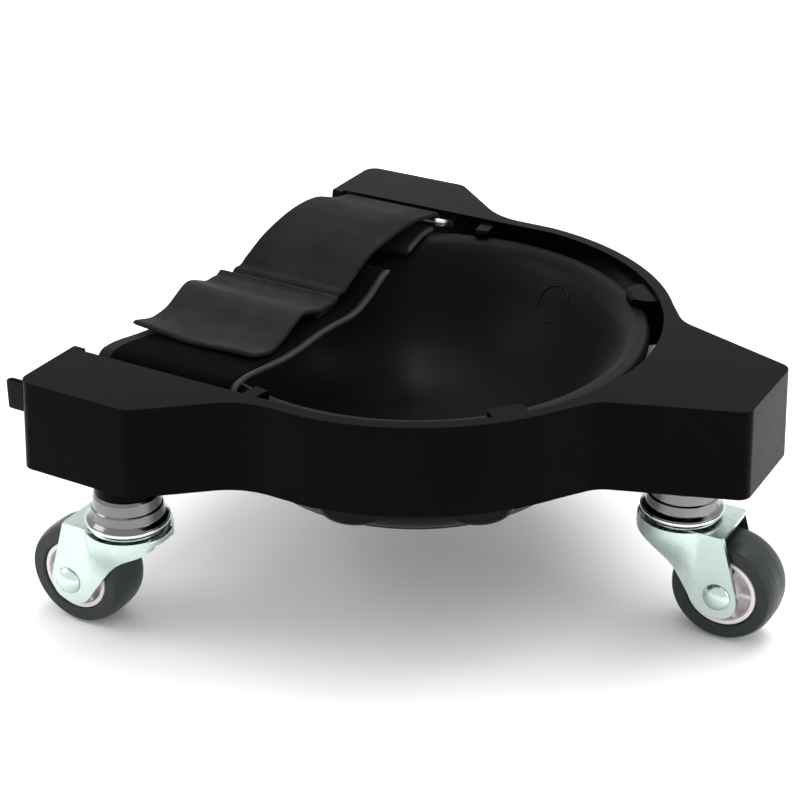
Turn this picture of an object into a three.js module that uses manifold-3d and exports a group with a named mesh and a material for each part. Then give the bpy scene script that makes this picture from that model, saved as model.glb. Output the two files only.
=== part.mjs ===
// Rolling knee creeper: a moulded three-lobed frame with a knee cup, a hook-and-loop strap and three casters.
// Millimetres, +Z up, floor at z = 0, +X towards the single front lobe. The origin is under the middle of the box.
import * as THREE from 'three';
import { mergeVertices } from 'three/addons/utils/BufferGeometryUtils.js';
import Module from 'manifold-3d';

const wasm = await Module();
wasm.setup();

// The frame, cup and strap are drawn in their own heights, and this raises them onto the casters.
const LIFT = 5;

// Driving dimensions: frame, measured from the centre of its ring.
const DECK_Z = 96;
const SKIRT_Z = 62.2;
const SKIRT_DRAFT = 1.011;
const WALL = 3;
const RING_R = 97.6;
const RING_INNER_R = 93;
const FRONT_END_X = 140.7;
const FRONT_HALF_WIDTH = 20.2;
const FRONT_ROOT = [92.5, 37.5];
const REAR_X = -91;
const SILL_THICKNESS = 4.8;
const SILL_Z = 69.2;
const LOBE_FRONT_X = -44.2;
const LOBE_OUTER_Y = 122.6;
const LOBE_INNER_Y = 92.1;
const LOBE_ROOT = [-14, 97];
const ORIGIN_X = 25.5;
const GAP = 0.3;

// Caster positions, and the bosses that hold them.
const FRONT_CASTER_X = 111.5;
const REAR_CASTER = [-59.5, 106];
const BOSS_R = 11.5;
const BOSS_Z = 53.6;
const RIB = 2.4;
const INSERT_TOP_Z = 88;
const INSERT_R = 7;

// Knee cup: bowl with a rim, lowered at the back where the shin leaves it.
const CUP_FLOOR_Z = 36;
const CUP_PROFILE = [
  [0, 36], [56, 36], [64, 37.4], [69.5, 44.5], [72.3, 56], [75, 70], [77.2, 79.4], [79.6, 84.2], [83, 85.8], [87, 85.8],
];
const CUP_REAR_SCALE = 0.68;
const CUP_DROP_START = THREE.MathUtils.degToRad(118);
const CUP_DROP_END = THREE.MathUtils.degToRad(160);
const CUP_LEVEL_R = 50;
const SHELL_THICKNESS = 2.2;
const PAD_FACE = [
  [83, 91.1], [80, 89.6], [77, 86.4], [73.2, 80], [68.5, 71.5], [62, 62.6], [53, 54.4], [41, 48], [26, 44.4], [0, 43],
];
const FOOT_RING_R = 59;
const FOOT_R = 15;
const FOOT_Z = 40.5;
const FOOT_ANGLES = [39, 82, 116, 160, -39, -82, -116, -160];
const CUP_SEGMENTS = 44;
const CLIP_ANGLES = [40, 100, -40, -100];
const CLIP_WIDTH = 11;

// Strap: centre lines as [y, z] points, and where each band begins and ends along X.
const STRAP_THICKNESS = 2;
const WALL_BAND_Y = LOBE_INNER_Y - GAP - STRAP_THICKNESS / 2;
const LOOP_BAND = {
  rear: -81.5,
  front: -24,
  path: [
    [-WALL_BAND_Y, 75], [-WALL_BAND_Y, 84], [-90.2, 90.4], [-87.4, 94.4], [-83, 95], [-77, 94.4], [-70, 93.1],
    [-62, 91.7], [-54, 90.6],
    [-44, 90.1], [-30, 90.2], [-18, 89.2], [-6, 87.6], [3, 88], [12, 90.8], [20, 94.4], [25, 95.6],
  ],
};

// The peeling band loops around a wire bail, which is its hinge.
const BAIL = { y: 82.5, z: 94.6, rear: -82.8, front: -33.5, wireR: 1.5, bendR: 3, rootY: 97, rootZ: 88.9 };
const FLAP_BAND = {
  rear: -80.5,
  front: -36,
  path: [
    [57, 88.6], [63, 90.6], [70, 92.2], [77, 92.3], [82.5, 91.8], [84.5, 92.6], [85.3, 94.6], [84.5, 96.6],
    [82.5, 97.4], [76, 98.6], [69, 100.4], [56, 102.6], [43, 103.2], [30, 102], [19, 99.8], [9, 97], [0, 94.6],
    [-8, 92.6], [-15, 92], [-20, 92],
  ],
};
const HOOK_TAB = {
  rear: -86,
  front: -29,
  path: [
    [-7, 96.2], [-12, 95], [-18, 94.8], [-25, 97], [-32, 98.8], [-39, 97.4], [-46, 95.2], [-54, 94.4], [-61, 95],
    [-67, 96.2],
  ],
};
const CLAMP_THICKNESS = 1.8;
const CLAMP_Z = [76, 84];
const CLAMP_SCREW_R = 1.6;
const CLAMP_HEAD_R = 3.2;
const TAIL = { tip: -100.5, inner: -86, low: 81, high: 92, outerY: -118.2, innerY: -114.8 };

// Caster: distances from its swivel axis, trailing along +X.
const WHEEL_R = 20;
const WHEEL_HALF_WIDTH = 9;
const TRAIL = 20;
const SHEET = 1.9;
const FORK_TOP_Z = 44.8;
const FORK_INNER_HALF = 10.4;
const FORK_OUTER_HALF = FORK_INNER_HALF + SHEET;
const FORK_DISC_R = 16.3;
const STEM_R = 4;
const AXLE_R = 3;
const HUB_R = 13.4;
const HUB_BORE_R = 4.5;
const SPOKES = 6;
const BALLS = 8;
const BALL_R = 1.5;
const BALL_RING_R = 9.8;

// Materials.
const material = (color, roughness, metalness = 0) => new THREE.MeshStandardMaterial({ color, roughness, metalness });
const MATERIALS = {
  frame: () => material(0x141415, 0.35),
  shell: () => material(0x101011, 0.4),
  liner: () => material(0x1c1c1d, 0.6),
  webbing: () => material(0x222223, 0.9),
  loop: () => material(0x161617, 1),
  steel: () => material(0x9a9c9e, 0.35, 1),
  zinc: () => material(0xd5dfda, 0.35, 1),
  chrome: () => material(0xdcdcdc, 0.12, 1),
  hub: () => material(0xe8e4e2, 0.45),
  tyre: () => material(0x303836, 0.55),
};

const group = new THREE.Group();
group.position.x = -ORIGIN_X;
const upper = new THREE.Group();
upper.position.z = LIFT;
group.add(upper);

function addPart(name, geometry, look, parent = upper) {
  const mesh = new THREE.Mesh(geometry, MATERIALS[look]());
  mesh.name = name;
  parent.add(mesh);
  return mesh;
}

// Merged vertices, no collapsed triangles, and faces pointing out.
function closedGeometry(source) {
  const bare = source.index ? source.toNonIndexed() : source.clone();
  bare.deleteAttribute('normal');
  bare.deleteAttribute('uv');
  const merged = mergeVertices(bare, 1e-4);
  const position = merged.getAttribute('position');
  const index = merged.getIndex().array;
  const triangles = [];
  let volume = 0;
  const [a, b, c] = [new THREE.Vector3(), new THREE.Vector3(), new THREE.Vector3()];
  for (let i = 0; i < index.length; i += 3) {
    const [p, q, r] = [index[i], index[i + 1], index[i + 2]];
    if (p === q || q === r || r === p) continue;
    a.fromBufferAttribute(position, p);
    b.fromBufferAttribute(position, q);
    c.fromBufferAttribute(position, r);
    volume += a.dot(b.cross(c));
    triangles.push([p, q, r]);
  }
  const wound = volume < 0 ? triangles.map(([p, q, r]) => [p, r, q]) : triangles;
  merged.setIndex(wound.flat());
  return merged;
}

function solid(geometry) {
  const closed = closedGeometry(geometry);
  const mesh = new wasm.Mesh({
    numProp: 3,
    vertProperties: new Float32Array(closed.getAttribute('position').array),
    triVerts: new Uint32Array(closed.getIndex().array),
  });
  return new wasm.Manifold(mesh);
}

function geometryOf(manifold) {
  const mesh = manifold.getMesh();
  const geometry = new THREE.BufferGeometry();
  geometry.setAttribute('position', new THREE.BufferAttribute(new Float32Array(mesh.vertProperties), 3));
  geometry.setIndex([...mesh.triVerts]);
  return geometry;
}

const joined = (solids) => solids.reduce((whole, next) => whole.add(next));
const cut = (whole, tools) => tools.reduce((rest, tool) => rest.subtract(tool), whole);

// Closed outline through corners [x, y, radius], each rounded with a curve of that radius.
function roundedOutline(corners, steps = 4) {
  const at = (corner) => new THREE.Vector2(corner[0], corner[1]);
  return corners.flatMap((corner, i) => {
    const here = at(corner);
    const radius = corner[2] ?? 0;
    if (radius === 0) return [here];
    const toBefore = at(corners.at(i - 1)).sub(here).normalize();
    const toAfter = at(corners[(i + 1) % corners.length]).sub(here).normalize();
    const reach = radius / Math.tan(Math.acos(toBefore.dot(toAfter)) / 2);
    const start = here.clone().addScaledVector(toBefore, reach);
    const end = here.clone().addScaledVector(toAfter, reach);
    return new THREE.QuadraticBezierCurve(start, here, end).getPoints(steps);
  });
}

// Points moved to the left of the way they run, by a distance; closed outlines wrap around.
function offsetLine(points, distance, closed) {
  const last = points.length - 1;
  return points.map((point, i) => {
    const before = closed ? points.at(i - 1) : points[Math.max(i - 1, 0)];
    const after = closed ? points[(i + 1) % points.length] : points[Math.min(i + 1, last)];
    const arriving = point.clone().sub(before).normalize();
    const leaving = after.clone().sub(point).normalize();
    if (arriving.length() === 0) arriving.copy(leaving);
    if (leaving.length() === 0) leaving.copy(arriving);
    const normal = new THREE.Vector2(-arriving.y - leaving.y, arriving.x + leaving.x).normalize();
    const miter = distance / (normal.x * -arriving.y + normal.y * arriving.x);
    return point.clone().addScaledVector(normal, miter);
  });
}

function prism(points, low, high) {
  const geometry = new THREE.ExtrudeGeometry(new THREE.Shape(points), { depth: high - low, bevelEnabled: false });
  return geometry.translate(0, 0, low);
}

// A prism whose outline lies in Y and Z and which runs along X.
function prismAlongX(points, low, high) {
  const turn = new THREE.Matrix4().makeBasis(
    new THREE.Vector3(0, 1, 0), new THREE.Vector3(0, 0, 1), new THREE.Vector3(1, 0, 0));
  return prism(points, low, high).applyMatrix4(turn);
}

// A prism whose outline lies in X and Z and which runs along Y.
function prismAlongY(points, low, high) {
  const geometry = prism(points, -high, -low);
  return geometry.rotateX(Math.PI / 2);
}

// A solid turned about Z from [radius, z] points.
function turned(profile, segments, closeProfile = false) {
  const points = profile.map(([r, z]) => new THREE.Vector2(r, z));
  if (closeProfile) points.push(points[0].clone());
  return new THREE.LatheGeometry(points, segments).rotateX(Math.PI / 2);
}

function post(radius, low, high, x, y, segments = 16) {
  const cylinder = new THREE.CylinderGeometry(radius, radius, high - low, segments);
  return cylinder.rotateX(Math.PI / 2).translate(x, y, (low + high) / 2);
}

function block(x, y, z) {
  const box = new THREE.BoxGeometry(x[1] - x[0], y[1] - y[0], z[1] - z[0]);
  return box.translate((x[0] + x[1]) / 2, (y[0] + y[1]) / 2, (z[0] + z[1]) / 2);
}

const onCircle = (radius, degrees) => {
  const angle = THREE.MathUtils.degToRad(degrees);
  return [radius * Math.cos(angle), radius * Math.sin(angle)];
};

const mirrored = (corners) => [...corners, ...corners.map(([x, y, r]) => [x, -y, r]).reverse()];

const casterPlaces = [
  { side: 'front', x: FRONT_CASTER_X, y: 0, turn: 0 },
  { side: 'left', x: REAR_CASTER[0], y: REAR_CASTER[1], turn: Math.PI },
  { side: 'right', x: REAR_CASTER[0], y: -REAR_CASTER[1], turn: Math.PI },
];

// ---- Moulded frame ----
function frameOutline() {
  const ring = Array.from({ length: 9 }, (_, i) => [...onCircle(RING_R, 31 + i * 6.6), 0]);
  return roundedOutline(mirrored([
    [FRONT_END_X, FRONT_HALF_WIDTH, 5],
    [...FRONT_ROOT, 14],
    ...ring,
    [...LOBE_ROOT, 28],
    [LOBE_FRONT_X, LOBE_OUTER_Y, 7],
    [REAR_X, LOBE_OUTER_Y, 5],
  ]));
}

function openingOutline() {
  const meet = THREE.MathUtils.radToDeg(Math.asin(LOBE_INNER_Y / RING_INNER_R));
  const arc = Array.from({ length: 20 }, (_, i) => [...onCircle(RING_INNER_R, meet * (i + 0.5) / 20), 0]);
  const tangent = [RING_INNER_R * Math.cos(THREE.MathUtils.degToRad(meet)), LOBE_INNER_Y];
  return roundedOutline(mirrored([...arc, tangent, [REAR_X + SILL_THICKNESS, LOBE_INNER_Y, 1.2]]));
}

// A C-shaped bracket on the ring that carries the cup's rim and hooks over it.
function rimClip(degrees) {
  const bracket = prismAlongY([
    [RING_INNER_R + 1.5, 76], [RING_INNER_R + 1.5, 94.6], [84.4, 94.6], [83.4, 93.4], [83.4, 91.3], [87.4, 91.3],
    [87.4, 85.4], [84.2, 85.4], [84.2, 83], [89, 76],
  ].map(([x, z]) => new THREE.Vector2(x, z)), -CLIP_WIDTH / 2, CLIP_WIDTH / 2);
  return bracket.rotateZ(THREE.MathUtils.degToRad(degrees));
}

function makeFrame() {
  const outline = frameOutline();
  const outside = prism(outline, SKIRT_Z, DECK_Z);
  const position = outside.getAttribute('position');
  for (let i = 0; i < position.count; i += 1) {
    if (position.getZ(i) > DECK_Z - 1) continue;
    position.setX(i, position.getX(i) * SKIRT_DRAFT);
    position.setY(i, position.getY(i) * SKIRT_DRAFT);
  }
  const keep = solid(post(RING_R, 0, DECK_Z + 9, 0, 0, 72))
    .add(solid(block([-110, 0], [-LOBE_INNER_Y - WALL, LOBE_INNER_Y + WALL], [0, DECK_Z + 9])));
  const hollow = solid(prism(offsetLine(outline, WALL, true), SKIRT_Z - 5, DECK_Z - WALL)).subtract(keep);
  const saddle = prismAlongX(roundedOutline([
    [-91, 102], [-87.5, 79, 8], [-72, SILL_Z, 10], [72, SILL_Z, 10], [87.5, 79, 8], [91, 102],
  ]), REAR_X - 9, REAR_X + SILL_THICKNESS + 4);
  const bosses = casterPlaces.map(({ x, y }) => solid(post(BOSS_R, BOSS_Z, DECK_Z - 1, x, y, 24)));
  const ribZ = [SKIRT_Z + 4, DECK_Z - 1];
  const lobeRibs = [1, -1].map((sign) => {
    const y = sign * (LOBE_INNER_Y + LOBE_OUTER_Y) / 2;
    return solid(block([REAR_X + 1, -30], [y - RIB / 2, y + RIB / 2], ribZ));
  });
  const frontRibs = [
    solid(block([RING_R - 2, FRONT_END_X - 1], [-RIB / 2, RIB / 2], ribZ)),
    solid(block([FRONT_CASTER_X - RIB / 2, FRONT_CASTER_X + RIB / 2], [-29, 29], ribZ)),
  ];
  const opening = solid(prism(openingOutline(), SKIRT_Z - 5, DECK_Z + 5));
  const walls = cut(solid(outside), [opening, hollow, solid(saddle)]);
  const whole = joined([walls, ...bosses, ...lobeRibs, ...frontRibs, ...CLIP_ANGLES.map((a) => solid(rimClip(a)))]);
  const insertHoles = casterPlaces.map(({ x, y }) => (
    solid(post(INSERT_R + GAP, BOSS_Z - 1, INSERT_TOP_Z + GAP, x, y))));
  const tailSlot = solid(block([REAR_X - 4, REAR_X + 8], [TAIL.outerY - GAP, TAIL.innerY + GAP],
    [TAIL.low - GAP, TAIL.high + GAP]));
  return cut(whole, [...insertHoles, tailSlot, ...clampScrewHoles(), ...bailHoles()]);
}

// ---- Knee cup ----
function lowerTheBack(geometry) {
  const position = geometry.getAttribute('position');
  for (let i = 0; i < position.count; i += 1) {
    const [x, y] = [position.getX(i), position.getY(i)];
    const reach = THREE.MathUtils.smoothstep(Math.hypot(x, y), 0, CUP_LEVEL_R);
    const drop = reach * THREE.MathUtils.smoothstep(Math.abs(Math.atan2(y, x)), CUP_DROP_START, CUP_DROP_END);
    const scale = 1 - (1 - CUP_REAR_SCALE) * drop;
    position.setZ(i, CUP_FLOOR_Z + (position.getZ(i) - CUP_FLOOR_Z) * scale);
  }
  return geometry;
}

function cupLine(distance) {
  const line = CUP_PROFILE.map(([r, z]) => new THREE.Vector2(r, z));
  return offsetLine(line, distance, false).map((point) => [point.x, point.y]);
}

const bowl = () => lowerTheBack(turned([...cupLine(0), ...cupLine(SHELL_THICKNESS).reverse()], CUP_SEGMENTS));

function makeCupShell() {
  const inner = cupLine(SHELL_THICKNESS);
  const rim = inner.at(-1);
  const hollow = lowerTheBack(turned([...inner, [rim[0], 120], [0, 120]], CUP_SEGMENTS));
  const feet = FOOT_ANGLES.map((degrees) => {
    const [x, y] = onCircle(FOOT_RING_R, degrees);
    return solid(post(FOOT_R, FOOT_Z, FOOT_Z + 16, x, y, 14));
  });
  const footRing = cut(joined(feet), [solid(hollow)]);
  return solid(bowl()).add(footRing);
}

const makeCupLiner = () => (
  solid(lowerTheBack(turned([...cupLine(SHELL_THICKNESS + GAP), [87, 91.1], ...PAD_FACE], CUP_SEGMENTS))));

// ---- Strap ----
function ribbon({ path, rear, front }) {
  const curve = new THREE.SplineCurve(path.map(([y, z]) => new THREE.Vector2(y, z)));
  const line = curve.getPoints((path.length - 1) * 3);
  const near = offsetLine(line, STRAP_THICKNESS / 2, false);
  const far = offsetLine(line, -STRAP_THICKNESS / 2, false);
  return prismAlongX([...near, ...far.reverse()], rear, front);
}

const clampXs = [LOOP_BAND.rear + 2, LOOP_BAND.front - 2];
const clampZ = (CLAMP_Z[0] + CLAMP_Z[1]) / 2;
const clampScrewXs = [0.12, 0.5, 0.88].map((t) => THREE.MathUtils.lerp(...clampXs, t));

function clampScrewHoles() {
  return clampScrewXs.map((x) => {
    const hole = new THREE.CylinderGeometry(CLAMP_SCREW_R + GAP, CLAMP_SCREW_R + GAP, 20, 8);
    return solid(hole.translate(x, -LOBE_INNER_Y, clampZ));
  });
}

function makeClampBar() {
  const outer = -WALL_BAND_Y + STRAP_THICKNESS / 2 + GAP;
  return cut(solid(block(clampXs, [outer, outer + CLAMP_THICKNESS], CLAMP_Z)), clampScrewHoles());
}

function makeClampScrews() {
  const headY = -WALL_BAND_Y + STRAP_THICKNESS / 2 + 2 * GAP + CLAMP_THICKNESS;
  const headHeight = 1.6;
  const length = 9;
  const profile = [
    [0, 0], [CLAMP_HEAD_R, headHeight / 2], [CLAMP_HEAD_R, headHeight],
    [CLAMP_SCREW_R, headHeight], [CLAMP_SCREW_R, length], [0, length],
  ];
  return clampScrewXs.map((x) => (
    closedGeometry(turned(profile, 8)).rotateX(Math.PI / 2).translate(x, headY + headHeight, clampZ)));
}

// ---- Wire bail that the strap loops around ----
function bailPath() {
  const root = (x) => new THREE.Vector3(x, BAIL.rootY, BAIL.rootZ);
  const corner = (x) => new THREE.Vector3(x, BAIL.y, BAIL.z);
  const towards = (from, to) => from.clone().addScaledVector(to.clone().sub(from).normalize(), BAIL.bendR);
  const path = new THREE.CurvePath();
  const ends = [BAIL.front, BAIL.rear];
  ends.forEach((x, i) => {
    const other = corner(ends[1 - i]);
    const legSide = towards(corner(x), root(x));
    const barSide = towards(corner(x), other);
    const bend = i === 0 ? [legSide, barSide] : [barSide, legSide];
    if (i === 0) path.add(new THREE.LineCurve3(root(x), legSide));
    if (i === 1) path.add(new THREE.LineCurve3(towards(other, corner(x)), barSide));
    path.add(new THREE.QuadraticBezierCurve3(bend[0], corner(x), bend[1]));
    if (i === 1) path.add(new THREE.LineCurve3(legSide, root(x)));
  });
  return path;
}

function makeBail() {
  const corners = Array.from({ length: 8 }, (_, i) => new THREE.Vector2(...onCircle(BAIL.wireR, i * 45)));
  const section = new THREE.Shape(corners);
  return new THREE.ExtrudeGeometry(section, { steps: 34, bevelEnabled: false, extrudePath: bailPath() });
}

function bailHoles() {
  const direction = new THREE.Vector3(0, BAIL.rootY - BAIL.y, BAIL.rootZ - BAIL.z).normalize();
  const turn = new THREE.Quaternion().setFromUnitVectors(new THREE.Vector3(0, 1, 0), direction);
  const depth = 12;
  return [BAIL.front, BAIL.rear].map((x) => {
    const hole = new THREE.CylinderGeometry(BAIL.wireR + GAP, BAIL.wireR + GAP, depth, 12);
    const middle = new THREE.Vector3(x, BAIL.rootY, BAIL.rootZ).addScaledVector(direction, 1 - depth / 2 + GAP);
    return solid(hole.applyQuaternion(turn).translate(...middle));
  });
}

function makeTail() {
  const corners = [
    [TAIL.tip, TAIL.outerY, 1.4], [TAIL.inner, TAIL.outerY], [TAIL.inner, TAIL.innerY], [TAIL.tip, TAIL.innerY, 1.4],
  ];
  return prism(roundedOutline(corners), TAIL.low, TAIL.high);
}

// ---- Caster ----
function makeFork() {
  const plateZ = [FORK_TOP_Z - SHEET, FORK_TOP_Z];
  const plate = solid(post(FORK_DISC_R, ...plateZ, 0, 0, 28))
    .add(solid(block([-14, TRAIL], [-FORK_OUTER_HALF, FORK_OUTER_HALF], plateZ)));
  const legOutline = roundedOutline([
    [-14, FORK_TOP_Z], [-14, 40.5, 2], [TRAIL - 5.2, 12, 6.6], [TRAIL + 8.6, 12, 7], [TRAIL, FORK_TOP_Z],
  ]);
  const legs = [1, -1].map((side) => {
    const ys = [side * FORK_INNER_HALF, side * FORK_OUTER_HALF].sort((a, b) => a - b);
    return solid(prismAlongY(legOutline, ...ys));
  });
  const stemHole = solid(post(STEM_R + 0.5, 30, 60, 0, 0));
  const axleHole = new THREE.CylinderGeometry(AXLE_R + GAP, AXLE_R + GAP, 60, 16).translate(TRAIL, 0, WHEEL_R);
  return cut(joined([plate, ...legs]), [stemHole, solid(axleHole)]);
}

function makeNut() {
  const hexagon = Array.from({ length: 6 }, (_, i) => new THREE.Vector2(...onCircle(8, i * 60)));
  const shape = new THREE.Shape(hexagon);
  shape.holes.push(new THREE.Path().absarc(0, 0, STEM_R + GAP, 0, Math.PI * 2, true));
  const nut = new THREE.ExtrudeGeometry(shape, { depth: 4.6, bevelEnabled: false, curveSegments: 5 });
  return nut.translate(0, 0, 53.6);
}

// Bearing balls in a thin sheet cage.
function makeBallRing() {
  const z = FORK_TOP_Z + BALL_R + 0.2;
  const cage = turned([[9.2, z - 0.25], [10.4, z - 0.25], [10.4, z + 0.25], [9.2, z + 0.25]], 16, true);
  const balls = Array.from({ length: BALLS }, (_, i) => (
    solid(new THREE.SphereGeometry(BALL_R, 6, 4).translate(...onCircle(BALL_RING_R, i * 360 / BALLS), z))));
  return joined([solid(cage), ...balls]);
}

function makeHub() {
  const web = solid(turned([
    [HUB_BORE_R, -8.8], [6.6, -8.8], [6.6, -2.5], [11.6, -2.5], [11.6, -8.4], [HUB_R, -8.4],
    [HUB_R, 8.4], [11.6, 8.4], [11.6, 2.5], [6.6, 2.5], [6.6, 8.8], [HUB_BORE_R, 8.8],
  ], 20, true));
  const spokes = Array.from({ length: SPOKES }, (_, i) => {
    const spoke = block([6.2, 12], [-0.8, 0.8], [-6.8, 6.8]);
    return solid(spoke.rotateZ(i * 2 * Math.PI / SPOKES));
  });
  return joined([web, ...spokes]);
}

const aboutAxle = (geometry) => geometry.rotateX(Math.PI / 2).translate(TRAIL, 0, WHEEL_R);

const spacer = (low) => turned([[3.3, low], [5.6, low], [5.6, low + 0.7], [3.3, low + 0.7]], 12, true);

function addCaster({ side, x, y, turn }) {
  const caster = new THREE.Group();
  caster.position.set(x, y, 0);
  caster.rotation.z = turn;
  group.add(caster);
  const tyre = [
    [HUB_R + GAP, -8.6], [17, -WHEEL_HALF_WIDTH], [19.2, -7.6], [WHEEL_R, -5],
    [WHEEL_R, 5], [19.2, 7.6], [17, WHEEL_HALF_WIDTH], [HUB_R + GAP, 8.6],
  ];
  const race = [
    [4.3, 51.7], [8.2, 51.7], [11, 50.4], [12.2, 46.2], [15, 46.2], [15, 47.6], [13.4, 49.4], [12.9, 53.2], [12.1, 57],
    [11, 58.3], [9.6, 58.3], [9.6, 53.3], [4.3, 53.3],
  ];
  const stem = [[0, 38.4], [4.4, 38.4], [5.4, 39.4], [5.4, 40.3], [STEM_R, 40.3], [STEM_R, 90], [0, 90]];
  const axle = [
    [0, -15], [3.8, -14.1], [4.7, -12.6], [AXLE_R, -12.6], [AXLE_R, 12.6], [4.7, 12.6], [3.8, 14.1], [0, 15],
  ];
  const [insertLow, insertHigh] = [BOSS_Z + LIFT + GAP, INSERT_TOP_Z + LIFT];
  const insert = [[4.3, insertLow], [INSERT_R, insertLow], [INSERT_R, insertHigh], [4.3, insertHigh]];
  const washer = [[4.3, 40.6], [8, 40.6], [8, 42.2], [4.3, 42.2]];
  const bush = [[3.1, -9.1], [4.2, -9.1], [4.2, 9.1], [3.1, 9.1]];
  const pieces = [
    ['insert', turned(insert, 12, true), 'steel'],
    ['stem', turned(stem, 12), 'steel'],
    ['jam_nut', makeNut(), 'chrome'],
    ['upper_race', turned(race, 24, true), 'chrome'],
    ['retaining_washer', turned(washer, 12, true), 'steel'],
    ['ball_ring', geometryOf(makeBallRing()), 'steel'],
    ['fork', geometryOf(makeFork()), 'zinc'],
    ['axle', aboutAxle(turned(axle, 16)), 'zinc'],
    ['spacer_near', aboutAxle(spacer(9.4)), 'steel'],
    ['spacer_far', aboutAxle(spacer(-10.1)), 'steel'],
    ['bush', aboutAxle(turned(bush, 16, true)), 'steel'],
    ['hub', aboutAxle(geometryOf(makeHub())), 'hub'],
    ['tyre', aboutAxle(turned(tyre, 32, true)), 'tyre'],
  ];
  pieces.forEach(([piece, geometry, look]) => addPart(`${piece}_${side}`, closedGeometry(geometry), look, caster));
}

addPart('frame', geometryOf(makeFrame()), 'frame');
addPart('cup_shell', geometryOf(makeCupShell()), 'shell');
addPart('cup_liner', geometryOf(makeCupLiner()), 'liner');
addPart('strap_loop_band', geometryOf(cut(solid(ribbon(LOOP_BAND)), clampScrewHoles())), 'loop');
addPart('strap_flap', closedGeometry(ribbon(FLAP_BAND)), 'webbing');
addPart('hook_tab', closedGeometry(ribbon(HOOK_TAB)), 'webbing');
addPart('strap_tail', closedGeometry(makeTail()), 'webbing');
addPart('strap_bail', closedGeometry(makeBail()), 'steel');
addPart('clamp_bar', geometryOf(makeClampBar()), 'steel');
makeClampScrews().forEach((screw, i) => addPart(`clamp_screw_${i + 1}`, screw, 'steel'));
casterPlaces.forEach(addCaster);

export default group;
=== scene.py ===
# Rolling knee creeper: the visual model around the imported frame.
# Blender works in metres. Shapes are written in millimetres from the centre of the knee cup, and scaled once.
import math

import bmesh
import bpy
from mathutils import Matrix, Vector


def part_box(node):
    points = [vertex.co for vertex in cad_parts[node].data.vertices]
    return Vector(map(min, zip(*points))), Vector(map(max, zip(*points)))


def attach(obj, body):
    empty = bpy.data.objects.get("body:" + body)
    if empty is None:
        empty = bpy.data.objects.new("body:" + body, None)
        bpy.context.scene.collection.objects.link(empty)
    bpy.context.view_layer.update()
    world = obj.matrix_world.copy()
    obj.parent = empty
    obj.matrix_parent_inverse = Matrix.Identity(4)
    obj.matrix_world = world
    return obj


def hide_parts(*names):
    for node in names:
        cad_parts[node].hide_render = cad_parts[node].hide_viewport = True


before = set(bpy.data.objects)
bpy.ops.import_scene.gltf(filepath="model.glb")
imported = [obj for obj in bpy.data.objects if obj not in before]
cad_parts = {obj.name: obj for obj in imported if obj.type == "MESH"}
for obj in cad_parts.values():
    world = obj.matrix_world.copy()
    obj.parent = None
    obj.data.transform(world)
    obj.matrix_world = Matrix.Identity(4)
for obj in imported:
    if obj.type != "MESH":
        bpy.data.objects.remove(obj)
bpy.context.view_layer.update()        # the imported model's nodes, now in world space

MM = 0.001


def middle(node):
    low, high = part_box(node)
    return (Vector(low) + Vector(high)) / (2 * MM)


def top_of(node):
    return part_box(node)[1][2] / MM


# The frame, cup and strap are drawn in their own heights, and CUP_CENTRE raises them onto the casters.
DECK_Z = 96.0
CUP_CENTRE = Vector((middle("cup_shell").x, 0, top_of("frame") - DECK_Z))
SKIRT_Z = 62.2
SIDES = ("front", "left", "right")

# ---- Frame sizes ----
SKIRT_DRAFT = 1.011
WALL = 3.0
RING_R = 97.6
RING_INNER_R = 93.0
FRONT_END_X = 140.7
FRONT_HALF_WIDTH = 20.2
FRONT_ROOT = (92.5, 37.5)
REAR_X = -91.0
SILL_THICKNESS = 4.8
SILL_Z = 69.2
LOBE_FRONT_X = -44.2
LOBE_OUTER_Y = 122.6
LOBE_INNER_Y = 92.1
LOBE_ROOT = (-14.0, 97.0)
BOSS_R = 11.5
BOSS_Z = 53.6
RIB = 2.4
INSERT_HOLE_R = 7.3
INSERT_HOLE_TOP = 88.3
CLIP_ANGLES = (40, 100, -40, -100)
CLIP_WIDTH = 11.0
FRONT_RIB_HALF = 29.0
REAR_RIB_FRONT_X = -30.0
SADDLE_LINE = (
    (-91, 102, 0), (-87.5, 79, 8), (-72, SILL_Z, 10), (72, SILL_Z, 10), (87.5, 79, 8), (91, 102, 0),
)
TAIL_SLOT_HALF = (2.0, 8.3)
EDGE_ROUND = 1.3

# ---- Cup sizes ----
CUP_FLOOR_Z = 36.0
CUP_LINE = (
    (0, 36), (56, 36), (64, 37.4), (69.5, 44.5), (72.3, 56), (75, 70), (77.2, 79.4), (79.6, 84.2), (83, 85.8),
    (87, 85.8),
)
CUP_REAR_SCALE = 0.68
CUP_DROP = (math.radians(118), math.radians(160))
CUP_LEVEL_R = 50.0
CUP_SEGMENTS = 144
SHELL_THICKNESS = 2.2
LINER_GAP = 0.3
PAD_FACE = (
    (83, 91.1), (80, 89.6), (77, 86.4), (73.2, 80), (68.5, 71.5), (62, 62.6), (53, 54.4), (41, 48), (26, 44.4),
    (0, 43),
)
MARK_CENTRE = (71.5, 76.9)
MARK_R = 7.7
MARK_WIRE_R = 0.45
MARK_PLACE = math.radians(68)
MARK_START, MARK_SWEEP = 20, 265
FOOT_RING_R = 59.0
FOOT_R = 15.0
FOOT_Z = 40.5
FOOT_ANGLES = (39, 82, 116, 160, -39, -82, -116, -160)

# ---- Caster sizes, from the swivel axis, trailing along +X ----
WHEEL_R = 20.0
TRAIL = 20.0
SHEET = 1.9
FORK_TOP_Z = 44.8
FORK_INNER_HALF = 10.4
FORK_OUTER_HALF = FORK_INNER_HALF + SHEET
FORK_DISC_R = 16.3
STEM_HOLE_R = 4.5
BALL_RING_R = 9.8
BALL_R = 1.5
BALL_COUNT = 12
SPOKE_COUNT = 6

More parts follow.
